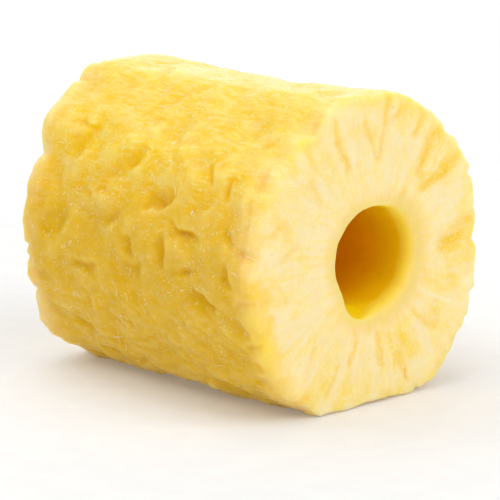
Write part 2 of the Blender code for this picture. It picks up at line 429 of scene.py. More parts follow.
FRONT_PALE = (
    (331.1, 20.8, 326.8, 27.5, 0.8, 1), (326.8, 27.5, 329.9, 40.5, 0.9, 0.9), (48, 45, 47, 33, 0.6, 0.8),
    (45, 46, 46, 35, 0.5, 0.7), (43, 42, 44, 34, 0.6, 0.7), (60, 50, 56, 49, 3.5, 1),
    (25, 49, 31, 46, 3.5, 0.8), (335, 49, 341, 45, 4, 0.9), (211, 28, 217, 38, 0.9, 0.9),
    (193, 33, 199, 39, 3, 0.6), (302, 45, 296, 41, 3, 0.7), (172, 45, 176, 50, 3, 0.7),
)


def back_strokes():
    """Amber, gold and pale strokes for the back face, one fan to each fruitlet that the cut met."""
    draw = np.random.default_rng(BACK_FACE_SEED)
    amber, gold, pale = [], [], []
    for k in range(BACK_FANS):
        middle = k * 360 / BACK_FANS + draw.uniform(-6, 6)
        outer = draw.uniform(40, 48)
        inner = draw.uniform(25, 34)
        lean = draw.uniform(-6, 6)
        strength = draw.uniform(0.2, 1)
        gold.append((middle, outer, middle + lean, inner + 4, draw.uniform(3, 7), strength))
        for side in (-3.5, 3.5):
            if draw.uniform() < 0.6:
                amber.append((middle + side, outer - 1, middle + lean, inner, draw.uniform(0.9, 2.6),
                              strength * draw.uniform(0.4, 1)))
        pale.append((middle + 9, outer, middle + 9 + lean, inner + 8, draw.uniform(0.6, 3), 0.7))
    return amber, gold, pale


def polar(direction, radius):
    return radius * math.cos(math.radians(direction)), radius * math.sin(math.radians(direction))


def stroke_marks(strokes, degrees, radius, warp):
    """How strongly the strokes mark each point of a face: 0 to 1, and above 1 where a spot is brown."""
    u = radius * np.cos(np.radians(degrees)) / MM + warp[0]
    w = radius * np.sin(np.radians(degrees)) / MM + warp[1]
    total = np.zeros(degrees.shape)
    for from_direction, from_radius, to_direction, to_radius, width, strength in strokes:
        au, aw = polar(from_direction, from_radius)
        bu, bw = polar(to_direction, to_radius)
        du, dw = bu - au, bw - aw
        t = np.clip(((u - au) * du + (w - aw) * dw) / (du * du + dw * dw), 0, 1)
        away = np.hypot(u - au - t * du, w - aw - t * dw)
        total = np.maximum(total, strength * np.exp(-(1.4 * away / width) ** 2))
    return np.clip(total, 0, 1.4)


# -------- the closed grid
class Strip:
    """A strip of the closed grid: its points, and for each the marks that the material reads."""

    def __init__(self, points, **marks):
        self.points = points
        self.marks = {name: marks.get(name, 0) + np.zeros(points.shape[:2]) for name in MARKS}


def rim_rounding(degrees, seed, soft_zone):
    """Radius of the rounding between the side and a cut face."""
    ring = place(degrees, 0, MEAN_RADIUS)
    soft = in_zone(degrees, soft_zone)
    return np.clip(1.5 + 2.4 * soft + 0.8 * noise_on(ring, 9, seed, 2), 0.8, 5) * MM


FRONT_NOTCHES = (  # in the front rim: direction, half width (degrees), depth (mm)
    (170.5, 2, 0.7), (66, 3, 0.3), (25.8, 2.2, 1.5), (337.3, 2.6, 2), (327.7, 2, 1.3),
    (294.2, 1.6, 1.1), (281, 1.2, 0.6), (204, 1.5, 0.8), (188, 1.6, 0.9), (148, 2.4, 0.8),
)
BACK_NOTCHES = (
    (152, 1.6, 1.2), (188.5, 1.8, 1.6), (193, 1.6, 1.2), (206, 1.6, 1.1), (121, 2.2, 1.4),
    (110, 2, 1), (95, 1.8, 0.8), (40, 2.6, 1.4), (10, 2, 1.3), (330, 2.4, 1.5),
    (300, 2, 1), (231, 1.6, 1), (70, 2, 1.2),
)


def notch_depth(degrees, from_front, from_back):
    """Depth in mm of the small notches that break the two rims."""
    depth = np.zeros(from_front.shape)
    for notches, away, reach in ((FRONT_NOTCHES, from_front, 4.5), (BACK_NOTCHES, from_back, 5.5)):
        for direction, half_width, deep in notches:
            cut = bump_at(degrees, direction, half_width)
            depth = np.maximum(depth, deep * cut * bump(away / reach))
    return depth


def soften(grid):
    """The grid of the side, with its sharpest edges rounded: wet flesh has none."""
    return blurred(grid, 0.6 / GRID_MM)


def side_strip(degrees, front_rim, back_rim):
    """The outside between the two rims, and its radius at each point."""
    t = np.linspace(0, 1, SIDE_STEPS + 1)[None, :]
    y = FRONT_Y + front_rim + t * (LENGTH - front_rim - back_rim)
    degrees = degrees + 0 * y
    skin = place(degrees, y, MEAN_RADIUS)
    warp = [1.2 * noise_on(skin, 5.5, 301 + k) + 0.45 * noise_on(skin, 2, 311 + k) for k in range(2)]
    top, rest = in_zone(degrees, TOP_CUT), in_zone(degrees, REST_CUT)
    zone = (1 - 0.6 * top) * (1 - 0.8 * rest)
    pockets = list(POCKETS) + eye_pockets() + small_pits()
    depth, lip, around, along, crease = carve(pockets, degrees, y / MM, warp)
    lobe, _, lobe_around, lobe_along, _ = carve(LOBES, degrees, y / MM, warp)
    share = 0.9 - 0.16 * in_zone(degrees, SHALLOW_SIDE)
    depth = share * depth * zone * (1 + 0.15 * noise_on(skin, 2.2, 321))
    from_front, from_back = (y - y[:, :1]) / MM, (y[:, -1:] - y) / MM
    free = smooth(0, 3, np.minimum(from_front, from_back))  # 0 at the rims, 1 away from them
    height = side_relief(skin, degrees) - depth + (lip + lobe) * zone
    height -= notch_depth(degrees, from_front, from_back)
    height -= 0.45 * (1 - free) * (1 + noise_on(skin, 5.5, 331))
    height = soften(height)
    around, along = (0.55 * soften(shift * zone) for shift in (around - lobe_around, along - lobe_along))
    radius = outside.radius(degrees, y) + height * MM
    turned = degrees + np.degrees(around * free * MM / radius)
    points = place(turned, y + along * free * MM, radius)
    hollow, ridge = side_shading(height, depth, crease * zone)
    ridge += 0.35 * bump((from_front - 13) / 11) * in_zone(degrees, PALE_SIDE)
    from_cream = np.minimum(from_front + 0.8 * front_rim / MM + front_yellow(degrees),
                            from_back + 0.8 * back_rim / MM + back_yellow(degrees))
    cream = cream_amount(skin, -from_cream)
    lemon = lemon_amount(degrees, cream) * (1 - smooth(6, 16, from_front))
    marks = dict(hollow=np.clip(hollow, 0, 1), ridge=np.clip(ridge, 0, 1), cream=cream,
                 lemon=lemon, top=top)
    return Strip(points, **marks), radius


def side_shading(height, depth, crease):
    """How far each point of the side lies in a hollow, and how far it stands on a ridge: the marks for
    painted shade and painted highlight.
    """
    narrow, wide, level = (blurred(height, size / GRID_MM) for size in (0.9, 2.6, 5.5))
    level = soften(level)
    hollow = 0.4 * (wide - height) + 0.35 * (level - wide) + 0.14 * depth + 0.45 * crease
    ridge = 4 * (height - narrow) + 0.9 * (height - wide) + 0.8 * (wide - level)
    return hollow, ridge


def front_yellow(degrees):
    """How far in mm the yellow runs in over the front rim: less than 0 where the cream runs out."""
    return 2.8 * bump_at(degrees, 200, 40) - 5 * bump_at(degrees, 252, 26)


def back_yellow(degrees):
    """The same for the back rim."""
    return 3.5 * bump_at(degrees, 172, 34) - 2 * bump_at(degrees, 209, 9) - 1


def lemon_amount(degrees, cream):
    """The clear lemon band between the yellow and the cream of the front's left rim, 0 to 1."""
    return bump_at(degrees, *LEMON_RIM) * np.clip(4 * cream * (1 - cream), 0, 1)


def cream_amount(points, inward):
    """0 on the yellow outside, 1 on the cream cut: inward is how far in from the rim, in mm."""
    wander = 2.5 * noise_on(points, 8, 401, 2) + 0.9 * noise_on(points, 2, 411)
    return 0.35 * smooth(-11, -2, inward + wander) + 0.65 * smooth(-4.2, 5.4, inward + wander)


def bore_radius(degrees, y):
    """The bore's radius: nearly true, with the front mouth's lower left broken out."""
    wall = place(degrees, y, BORE_RADIUS)
    relief = 0.16 * noise_on(wall, (6, 30, 6), 501) + 0.1 * noise_on(wall, 4, 511, 2)
    into = (y - FRONT_Y) / MM
    chip = CHIP_RISE * bump_at(degrees, CHIP_DIRECTION, CHIP_HALF_WIDTH) * bump(into / CHIP_REACH)
    return BORE_RADIUS + (relief + chip) * MM


def mouth_rounding(degrees, front):
    """Radius of the rounding between a face and the bore: crisp on one side, soft on the other."""
    ring = place(degrees, 0, BORE_RADIUS)
    soft, ribs = 0.4, 0
    if front:
        soft = in_zone(degrees, SOFT_MOUTH)
        ribs = in_zone(degrees, RIBBED_MOUTH) * (0.5 + 0.5 * np.sin(np.radians(degrees) * RIBS_AROUND))
    return np.clip(0.6 + 3.8 * soft + 0.22 * ribs + 0.3 * noise_on(ring, 4, 521), 0.5, 5.2) * MM


def face_sink(points, degrees, radius, marks):
    """How far in mm each point of a cut face lies below the cut's plane."""
    ring = place(degrees, 0, 24 * MM)  # so that the ribs run outward
    broad = 0.3 * (0.9 + noise_on(points, 13, 601, 2))
    ribs = 0.07 * (1 + noise_on(ring + 0.25 * points, 2.6, 611, 2))
    grain = 0.04 * (1 + noise_on(points, 1.6, 621, 2))
    edge_in = smooth(14, 50, radius / MM)
    sink = broad * edge_in + ribs * edge_in + grain + 0.04 * marks["amber"] - 0.08 * marks["pale"]
    return np.clip(sink, 0, 3)


def face_marks(degrees, radius, rim_radius, mouth_radius, strokes):
    """Colour marks of a cut face."""
    points = place(degrees, 0 * radius, radius)
    warp = [0.7 * noise_on(points, 5, 421 + k) + 0.3 * noise_on(points, 1.4, 431 + k) for k in range(2)]
    amber, gold, pale = (stroke_marks(rows, degrees, radius, warp) for rows in strokes)
    gold = gold * (0.75 + 0.4 * noise_on(points, 3, 441, 2))
    # painted shade: a soft darker ring on the face round the bore's mouth
    ring = 1 - smooth(-1.5, 6.5, (radius - mouth_radius) / MM)
    inward = (rim_radius - radius) / MM
    return dict(amber=amber, gold=gold, pale=pale, ring=ring, cream=cream_amount(points, inward))


def end_strips(degrees, side_radius, rim, front):
    """A cut face with its rim and mouth roundings, from the side inward, and the mouth's rounding."""
    face_y, inward_y = (FRONT_Y, 1) if front else (BACK_Y, -1)
    strokes = (FRONT_AMBER, FRONT_GOLD, FRONT_PALE) if front else back_strokes()
    mouth = mouth_rounding(degrees, front)
    bore = bore_radius(degrees, face_y + inward_y * mouth)
    rim_radius, mouth_radius = side_radius - rim, bore + mouth
    rim_turn = np.linspace(0, math.pi / 2, RIM_STEPS + 1)[None, 1:]
    mouth_turn = np.linspace(math.pi / 2, 0, MOUTH_STEPS + 1)[None, 1:]
    t = np.linspace(0, 1, FACE_STEPS + 1)[None, 1:]
    radius = np.concatenate([rim_radius + rim * np.cos(rim_turn),
                             rim_radius + t * (mouth_radius - rim_radius),
                             bore + mouth * (1 - np.cos(mouth_turn))], axis=1)
    sunk = np.concatenate([rim * (1 - np.sin(rim_turn)), 0 * (t + mouth),
                           mouth * (1 - np.sin(mouth_turn))], axis=1)
    facing = np.concatenate([np.sin(rim_turn) + 0 * rim, 1 + 0 * (t + rim),
                             np.sin(mouth_turn) + 0 * rim], axis=1)
    degrees = degrees + 0 * radius
    yellow = front_yellow(degrees) if front else 0
    marks = face_marks(degrees, radius, side_radius - 0.2 * rim - yellow * MM, mouth_radius, strokes)
    marks["lemon"] = lemon_amount(degrees, marks["cream"]) if front else 0 * radius
    marks["deep"] = MOUTH_DEEP * smooth(0, 1, (mouth_radius - radius) / mouth)
    flat = place(degrees, face_y + 0 * radius, radius)
    sunk = sunk + facing * face_sink(flat, degrees, radius, marks) * MM
    return Strip(place(degrees, face_y + inward_y * sunk, radius), **marks), mouth


def bore_strip(degrees, front_mouth, back_mouth):
    """The bore's wall, from the back mouth to the front one, without its two end rows."""
    t = np.linspace(0, 1, BORE_STEPS + 1)[None, 1:-1]
    y = BACK_Y - back_mouth - t * (LENGTH - front_mouth - back_mouth)
    degrees = degrees + 0 * y
    into = np.minimum(y - FRONT_Y, BACK_Y - y) / MM
    deep = MOUTH_DEEP + into / DARKEST_MM
    return Strip(place(degrees, y, bore_radius(degrees, y)), deep=deep, cream=1)


def flesh_grid():
    """All strips of the closed grid, in order round the profile, joined into one."""
    degrees = (np.arange(AROUND) * 360 / AROUND)[:, None]
    front_rim = rim_rounding(degrees, 341, SOFT_FRONT_RIM)
    back_rim = rim_rounding(degrees, 351, SOFT_BACK_RIM)
    side, radius = side_strip(degrees, front_rim, back_rim)
    front, front_mouth = end_strips(degrees, radius[:, :1], front_rim, True)
    back, back_mouth = end_strips(degrees, radius[:, -1:], back_rim, False)
    bore = bore_strip(degrees, front_mouth, back_mouth)
    points = np.concatenate([side.points, back.points, bore.points, front.points[:, ::-1]], axis=1)
    marks = {name: np.concatenate([side.marks[name], back.marks[name], bore.marks[name],
                                   front.marks[name][:, ::-1]], axis=1) for name in MARKS}
    return keep_in_box(points), marks


def keep_in_box(points):
    """The points, with none outside the frame's box."""
    return np.clip(points, LOW + KEPT_INSIDE, HIGH - KEPT_INSIDE)


def grid_faces(around, rows):
    """Quads of a grid closed both ways, facing out."""
    i, j = np.meshgrid(np.arange(around), np.arange(rows), indexing="ij")
    i1, j1 = (i + 1) % around, (j + 1) % rows
    return np.stack([i * rows + j, i * rows + j1, i1 * rows + j1, i1 * rows + j], axis=-1).reshape(-1, 4)


def new_mesh(name, points, faces):
    mesh = bpy.data.meshes.new(name)
    mesh.from_pydata(points.tolist(), [], faces)
    mesh.update()
    return mesh


def add_piece(name, mesh, material):
    """An object that shows, moves with the frame's only body and takes the given material."""
    piece = bpy.data.objects.new(name, mesh)
    bpy.context.scene.collection.objects.link(piece)
    mesh.materials.append(material)
    mesh.shade_smooth()
    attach(piece, "root")
    return piece


def thinned(mesh, triangles):
    """The mesh with flat stretches thinned, so that it has about this many triangles."""
    dense = bpy.data.objects.new("dense", mesh)
    bpy.context.scene.collection.objects.link(dense)
    thin = dense.modifiers.new("thin", "DECIMATE")
    thin.ratio = triangles / (2 * len(mesh.polygons))
    graph = bpy.context.evaluated_depsgraph_get()
    result = bpy.data.meshes.new_from_object(dense.evaluated_get(graph), preserve_all_data_layers=True,
                                             depsgraph=graph)
    bpy.data.objects.remove(dense)
    return result


def flesh_mesh():
    """The flesh's closed mesh, with its marks as attributes of the points."""
    points, marks = flesh_grid()
    around, rows = points.shape[:2]
    mesh = new_mesh("flesh", points.reshape(-1, 3), grid_faces(around, rows).tolist())
    for name in MARKS:
        layer = mesh.attributes.new(name, "FLOAT", "POINT")
        layer.data.foreach_set("value", marks[name].reshape(-1).astype(np.float32))
    thin = thinned(mesh, TRIANGLES)
    corners = np.zeros(3 * len(thin.vertices), dtype=np.float32)
    thin.vertices.foreach_get("co", corners)
    thin.vertices.foreach_set("co", keep_in_box(corners.reshape(-1, 3)).reshape(-1))
    thin.update()
    return thin


# -------- loose fibres
# fibres of the near side: direction and place along Y (mm) of the root, length (mm), heading
# (degrees, as for the pockets), curl (degrees over the whole length), rise of the free end (mm)
STRANDS = (
    (151, -13, 6.5, 40, 25, 0.5), (205, 10, 5.5, -10, 30, 0.6), (209, 9.5, 5, -60, -30, 0.5),
    (215, 16, 3.5, 60, 250, 0.8), (217, 14, 4, -120, -220, 0.7), (220, 15.5, 3, 20, 200, 0.6),
    (193, 7, 3.5, 70, 60, 0.4), (227, -17.5, 4.5, -70, 50, 0.9), (171, -51.5, 3, 0, 20, 0.8),
    (186.5, -31, 3.5, -35, -10, 0.25), (133, 2, 3, 30, 30, 0.3), (146, 42, 3, 10, 40, 0.4),
    (163, 30, 4, -15, -40, 0.3), (200, 30, 4, 12, 20, 0.3),
)
LISTED_HALF_WIDTH = 0.11  # mm
FREE_STRANDS = 24  # and this many more, drawn all over the torn side
ROOT_DEPTH = 0.03  # mm
STRAND_STEPS = 9
STRAND_SIDES = 6
STRAND_FLATNESS = 0.8  # height to width


def surface_radius(tree, degrees, y):
    """Radius of the outermost flesh in this direction; the frame's radius where a ray finds none."""
    out = way_out(degrees)
    start = Vector((AXIS_X, y, AXIS_Z)) + out * 2 * MEAN_RADIUS
    hit, _, _, reach = tree.ray_cast(start, -out)
    if hit is None:
        return float(outside.radius(degrees, y))
    return 2 * MEAN_RADIUS - reach


def strand_path(tree, direction, along, length, heading, curl, rise):
    """Points of a path that is rooted in the flesh, runs over it and rises to a free end."""
    degrees, y, points = direction, along * MM, []
    step = length * MM / (STRAND_STEPS - 1)
    for k in range(STRAND_STEPS):
        t = k / (STRAND_STEPS - 1)
        turn = math.radians(heading + curl * t)
        radius = surface_radius(tree, degrees, y)
        points.append((degrees, y, radius + (rise * t * t - ROOT_DEPTH) * MM))
        degrees += math.degrees(step * math.sin(turn) / radius)
        y -= step * math.cos(turn)
    degrees, y, radius = np.array(points).T
    for _ in range(2):  # the path bridges the cracks rather than following them
        radius[1:-1] = np.maximum(radius[1:-1], 0.5 * (radius[:-2] + radius[2:]))
    return place(degrees, y, radius)


def swept(path, half_widths):
    """Rings round a path, a little wider along the flesh than they are high off it."""
    forward = np.gradient(path, axis=0)
    forward /= np.linalg.norm(forward, axis=1, keepdims=True) + 1e-9
    outward = path - np.array([AXIS_X, 0, AXIS_Z])
    outward[:, 1] = 0
    across = np.cross(forward, outward)
    across /= np.linalg.norm(across, axis=1, keepdims=True) + 1e-9
    up = np.cross(across, forward)
    wide = (across * half_widths[:, None])[:, None]
    high = (up * (STRAND_FLATNESS * half_widths)[:, None])[:, None]
    turn = (np.arange(STRAND_SIDES) * 2 * math.pi / STRAND_SIDES)[None, :, None]
    return path[:, None] + wide * np.cos(turn) + high * np.sin(turn)


def swept_mesh(name, bodies):
    """One mesh from closed bodies, each an array of rings."""
    points, faces, first = [], [], 0
    for rings in bodies:
        count, sides = rings.shape[:2]
        for i in range(count - 1):
            for j in range(sides):
                j1 = (j + 1) % sides
                faces.append((first + i * sides + j, first + (i + 1) * sides + j,
                              first + (i + 1) * sides + j1, first + i * sides + j1))
        faces.append(tuple(first + j for j in range(sides)))
        faces.append(tuple(first + (count - 1) * sides + j for j in reversed(range(sides))))
        points.append(rings.reshape(-1, 3))
        first += count * sides
    return new_mesh(name, keep_in_box(np.concatenate(points)), faces)


def torn_side_direction(draw):
    """A direction drawn from the whole turn but the cut that the fruit lies on."""
    middle, half_width = REST_CUT
    clear = half_width + 8
    return middle + clear + draw.uniform() * (360 - 2 * clear)


def strand_body(tree, half_width, *route):
    """Rings of one strand, thickest past its middle; the route is as strand_path takes it."""
    t = np.linspace(0, 1, STRAND_STEPS)
    half = half_width * MM * (0.25 + 0.75 * np.sin(math.pi * np.clip(0.12 + 0.86 * t, 0, 1)) ** 0.6)
    return swept(strand_path(tree, *route), half)


def strand_mesh(tree):
    """All the loose fibres, standing on the flesh."""
    draw = np.random.default_rng(STRAND_SEED)
    bodies = [strand_body(tree, LISTED_HALF_WIDTH, *row) for row in STRANDS]
    for _ in range(FREE_STRANDS):
        length = draw.uniform(1.5, 6)
        heading = draw.normal(0, 22) + (180 if draw.uniform() < 0.5 else 0)
        direction, along = torn_side_direction(draw), draw.uniform(-52, 52)
        curl, rise, half_width = draw.normal(0, 25), draw.uniform(0.25, 0.6), draw.uniform(0.06, 0.1)
        bodies.append(strand_body(tree, half_width, direction, along, length, heading, curl, rise))
    return swept_mesh("strands", bodies)


# -------- material
class Nodes:
    """A material's node tree, built one node at a time."""

    def __init__(self, name):
        self.material = bpy.data.materials.new(name)
        self.material.use_nodes = True
        self.tree = self.material.node_tree
        self.point = self.add("TexCoord").outputs["Object"]

    def link(self, value, socket):
        """Connects an output to a socket, or sets the socket to a plain value."""
        if isinstance(value, bpy.types.NodeSocket):
            self.tree.links.new(value, socket)
        else:
            socket.default_value = value

    def add(self, kind, inputs=(), **settings):
        node = self.tree.nodes.new("ShaderNode" + kind)
        for key, value in settings.items():
            setattr(node, key, value)
        for key, value in dict(inputs).items():
            self.link(value, node.inputs[key])
        return node

    def math(self, operation, a, b=0, c=0):
        return self.add("Math", {0: a, 1: b, 2: c}, operation=operation).outputs[0]

    def times(self, a, b):
        return self.math("MULTIPLY", a, b)

    def vector(self, operation, a, b=(0, 0, 0)):
        return self.add("VectorMath", {0: a, 1: b}, operation=operation).outputs[0]

    def moved(self, vector, shift, amount):
        """The vector with an amount of another one added to it."""
        node = self.add("VectorMath", {0: shift, 1: (amount, amount, amount), 2: vector},
                        operation="MULTIPLY_ADD")
        return node.outputs[0]

    def mix(self, factor, a, b, blend="MIX"):
        """A colour between a and b."""
        node = self.add("Mix", {0: factor, 6: a, 7: b}, data_type="RGBA", blend_type=blend)
        return node.outputs[2]

    def mix_value(self, factor, a, b):
        """A number between a and b."""
        return self.add("Mix", {0: factor, 2: a, 3: b}, data_type="FLOAT").outputs[0]

    def attribute(self, name):
        return self.add("Attribute", attribute_name=name).outputs["Fac"]

    def step(self, value, low, high, out_low=0, out_high=1):
        """A smooth rise from out_low to out_high as value goes from low to high."""
        node = self.add("MapRange", {0: value, 1: low, 2: high, 3: out_low, 4: out_high},
                        interpolation_type="SMOOTHSTEP")
        return node.outputs[0]

    def lay(self, colour, over, value, low, high, most=1):
        """The colour with another laid over it: none of it at low, and most of it at high."""
        return self.mix(self.step(value, low, high, 0, most), colour, over)

    def noise(self, vector, scale, detail=2, rough=0.55, distortion=0):
        return self.add("TexNoise", {"Vector": vector, "Scale": scale, "Detail": detail,
                                     "Roughness": rough, "Distortion": distortion}).outputs["Fac"]

    def bump(self, strength, distance, height, more=()):
        inputs = {"Strength": strength, "Distance": distance, "Height": height}
        return self.add("Bump", inputs | dict(more)).outputs["Normal"]

    def surface(self, inputs):
        """The material, with these inputs of its shader connected or set."""
        for key, value in inputs.items():
            self.link(value, self.tree.nodes["Principled BSDF"].inputs[key])
        return self.material


def rgb(red, green, blue):
    """A colour given as it looks on screen, 0 to 255, in the linear values that nodes take."""
    def linear(value):
        value /= 255
        return value / 12.92 if value <= 0.04045 else ((value + 0.055) / 1.055) ** 2.4
    return (linear(red), linear(green), linear(blue), 1)


# how the flesh's colours look in plain white light; some of them are laid on as painted shade, highlight
# or glints
LEMON = rgb(252, 205, 62)
GOLD = rgb(249, 198, 4)
# amber for the hollows and creases: painted shade, partly the flesh's deeper colour
AMBER = rgb(246, 195, 2)
SHADE_AMBER = rgb(244, 184, 0)
# darker gold for the lower side: painted shade
SHADED_LOW_GOLD = rgb(215, 170, 0)
PALE = rgb(254, 219, 120)
# whitish: the strands' own colour, and on the flesh painted glints
SPECK = rgb(255, 240, 206)
CREAM = rgb(254, 226, 176)
RIM_LEMON = rgb(248, 215, 92)
FACE_YELLOW = rgb(254, 216, 110)
FACE_GOLD = rgb(253, 209, 46)
FACE_AMBER = rgb(251, 198, 34)
FACE_SPOT = rgb(224, 146, 34)
FACE_PALE = rgb(255, 231, 190)
# painted shade round the bore's mouth on the cut faces
MOUTH_SHADE = rgb(232, 206, 116)
# the bore's wall: the mark "deep", and the colour there, deepening to amber inward as painted shade
BORE_COLOURS = ((0, rgb(247, 218, 138)), (0.11, rgb(252, 213, 46)), (0.2, rgb(253, 211, 14)),
                (0.36, rgb(253, 205, 10)), (0.6, rgb(253, 191, 4)), (1, rgb(254, 180, 1)))
LIGHT_DEPTH = 6.5 * MM  # how far light travels in the flesh
WATER_IOR = 1.36  # of juicy flesh and of the juice on it
FIBRE_IOR = 1.38


class FleshNodes(Nodes):
    """The flesh's node tree, with the marks and the noise that several layers read."""

    def __init__(self):
        super().__init__("pineapple flesh")
        self.mark = {name: self.attribute(name) for name in MARKS}
        self.xyz = self.add("SeparateXYZ", {0: self.point}).outputs
        from_axis = self.vector("SUBTRACT", self.point, (float(AXIS_X), 0, float(AXIS_Z)))
        self.direction = self.vector("NORMALIZE", self.vector("MULTIPLY", from_axis, (1, 0, 1)))
        wander = self.add("TexNoise", {"Vector": self.point, "Scale": 160, "Detail": 2})
        self.bent = self.moved(self.point, wander.outputs["Color"], 4 * MM)
        self.side_streaks = self.noise(self.lengthwise(1100, 150), 1, 3, 0.6)
        self.face_streaks = self.noise(self.radial(13, 120), 1, 4, 0.62)
        self.broad = self.noise(self.point, 75, 3, 0.55)
        self.medium = self.noise(self.point, 260, 3, 0.6)
        self.fine = self.noise(self.point, 1100, 3, 0.6)

    def lengthwise(self, across, along):
        """Where to read a pattern that runs along the bore, by its scale each way."""
        return self.vector("MULTIPLY", self.bent, (across, along, across))

    def radial(self, around, outward):
        """Where to read a pattern that runs out from the bore, by its scale each way."""
        scaled = self.vector("MULTIPLY", self.bent, (outward, outward, outward))
        return self.moved(scaled, self.direction, around)


def fibre_ends_and_glints(n):
    """Short marks in clusters, where torn fibres end and, as painted glints, where the wet flesh shines:
    how much of one is here, and how white it is.
    """
    cells = n.add("TexVoronoi", {"Vector": n.lengthwise(820, 430), "Scale": 1})
    of_cell = n.add("SeparateColor", {0: cells.outputs["Color"]}).outputs
    chosen = n.step(of_cell[0], 0.5, 0.68)
    size = n.step(of_cell[1], 0, 1, 0.1, 0.3)
    clusters = n.step(n.noise(n.point, 150, 3, 0.65), 0.48, 0.62, 0.12, 1)
    shape = n.step(cells.outputs["Distance"], n.times(size, 0.4), size, 1, 0)
    return n.times(shape, n.times(chosen, clusters)), n.step(of_cell[2], 0, 1, 0.3, 0.9)


def side_colour(n, dots, whiteness):
    """Lemon to gold by patches, and pale streaks. Amber in the hollows and creases is painted shade,
    partly the flesh's deeper colour; darker gold low down is painted shade; pale on the ridges is
    painted highlight, partly paler flesh;
    pale streaks on the top are painted sheen; white dots and specks are painted glints, partly torn
    fibre ends.
    """
    patches = n.noise(n.lengthwise(330, 60), 1, 4, 0.62, 0.3)
    hollow = n.mark["hollow"]
    side = n.lay(LEMON, GOLD, n.broad, 0.36, 0.64)
    side = n.lay(side, GOLD, patches, 0.5, 0.36, 0.8)
    # painted highlight: pale on the ridges, partly paler flesh
    side = n.mix(n.times(n.mark["ridge"], 0.7), side, PALE)
    side = n.lay(side, PALE, patches, 0.5, 0.64, 0.55)
    side = n.lay(side, PALE, n.side_streaks, 0.5, 0.64, 0.6)
    side = n.lay(side, PALE, n.fine, 0.55, 0.68, 0.5)
    # painted sheen: pale glossy streaks on the top cut
    side = n.mix(n.times(n.mark["top"], n.step(n.side_streaks, 0.38, 0.66, 0, 0.48)), side, PALE)
    # painted shade: amber in the hollows and in the creases under steep sides, partly the flesh's deeper
    # colour
    side = n.lay(side, AMBER, hollow, 0.04, 0.5, 0.82)
    side = n.lay(side, SHADE_AMBER, hollow, 0.4, 1, 0.6)
    # painted shade: darker gold towards the bottom of the side
    side = n.lay(side, SHADED_LOW_GOLD, n.xyz[2], 78 * MM, 48 * MM, 0.6)
    # painted glints: white dots and specks, partly torn fibre ends
    side = n.mix(n.times(dots, whiteness), side, SPECK)
    glint_specks = n.times(n.step(n.fine, 0.56, 0.68), n.step(n.medium, 0.45, 0.6))
    return n.mix(n.times(glint_specks, 0.5), side, SPECK)


def face_colour(n):
    """Cream blotched with yellow, gold and amber fruitlets, pale threads, and painted shade in a ring at
    the bore.
    """
    blotch = n.noise(n.radial(7, 62), 1, 4, 0.55, 0.3)
    smudge = n.noise(n.point, 110, 3, 0.6, 0.5)
    speckle = n.noise(n.point, 620, 3, 0.65)
    streaks, amber = n.face_streaks, n.mark["amber"]
    face = n.lay(CREAM, FACE_YELLOW, blotch, 0.46, 0.66, 0.42)
    face = n.lay(face, FACE_YELLOW, smudge, 0.48, 0.66, 0.48)
    face = n.lay(face, FACE_YELLOW, streaks, 0.48, 0.68, 0.28)
    face = n.lay(face, FACE_PALE, n.xyz[0], 18 * MM, 46 * MM, 0.4)
    face = n.lay(face, FACE_PALE, streaks, 0.46, 0.3, 0.25)
    face = n.mix(n.times(n.mark["gold"], n.step(streaks, 0.25, 0.6, 0.5, 1)), face, FACE_GOLD)
    face = n.mix(n.times(amber, n.step(streaks, 0.3, 0.65, 0.6, 1)), face, FACE_AMBER)
    face = n.lay(face, FACE_SPOT, n.math("SUBTRACT", amber, 1), 0, 0.4)
    face = n.mix(n.times(n.mark["pale"], 0.85), face, FACE_PALE)
    face = n.lay(face, FACE_YELLOW, speckle, 0.48, 0.64, 0.25)
    face = n.lay(face, FACE_PALE, n.fine, 0.52, 0.66, 0.4)
    return n.mix(n.times(n.mark["ring"], 0.85), face, MOUTH_SHADE)


def bore_colour(n):
    """Cream at the mouths to deep amber inside; the deepening amber is painted shade of the bore."""
    ramp = n.add("ValToRGB", {"Fac": n.mark["deep"]})
    stops = ramp.color_ramp.elements
    for _ in range(len(BORE_COLOURS) - 2):
        stops.new(0.5)
    for stop, (at, colour) in zip(stops, BORE_COLOURS):
        stop.position = at
        stop.color = colour
    return ramp.outputs["Color"]


def flesh_bumps(n, dots):
    """Two normals: one with beads of juice and raised dots, and one with fibre grain on them too."""
    cream = n.mark["cream"]
    grain = n.math("ADD", n.times(n.mix_value(cream, n.side_streaks, n.face_streaks), 0.55),
                   n.times(n.fine, 0.45))
    top, deep = n.mark["top"], n.mark["deep"]
    calm = n.times(n.step(top, 0, 1, 1, 0.15), n.step(deep, 0.05, 0.2, 1, 0.3))
    calm = n.times(calm, n.step(cream, 0.3, 1, 1, 0.4))
    raised_dots = n.times(dots, n.step(top, 0, 0.3, 0.4, 0))
    beads = n.math("MULTIPLY_ADD", n.noise(n.point, 430, 2, 0.45), 0.5, raised_dots)
    beaded = n.bump(0.25, 0.8 * MM, n.times(beads, calm))
    return beaded, n.bump(0.2, 0.3 * MM, n.times(grain, calm), {"Normal": beaded})


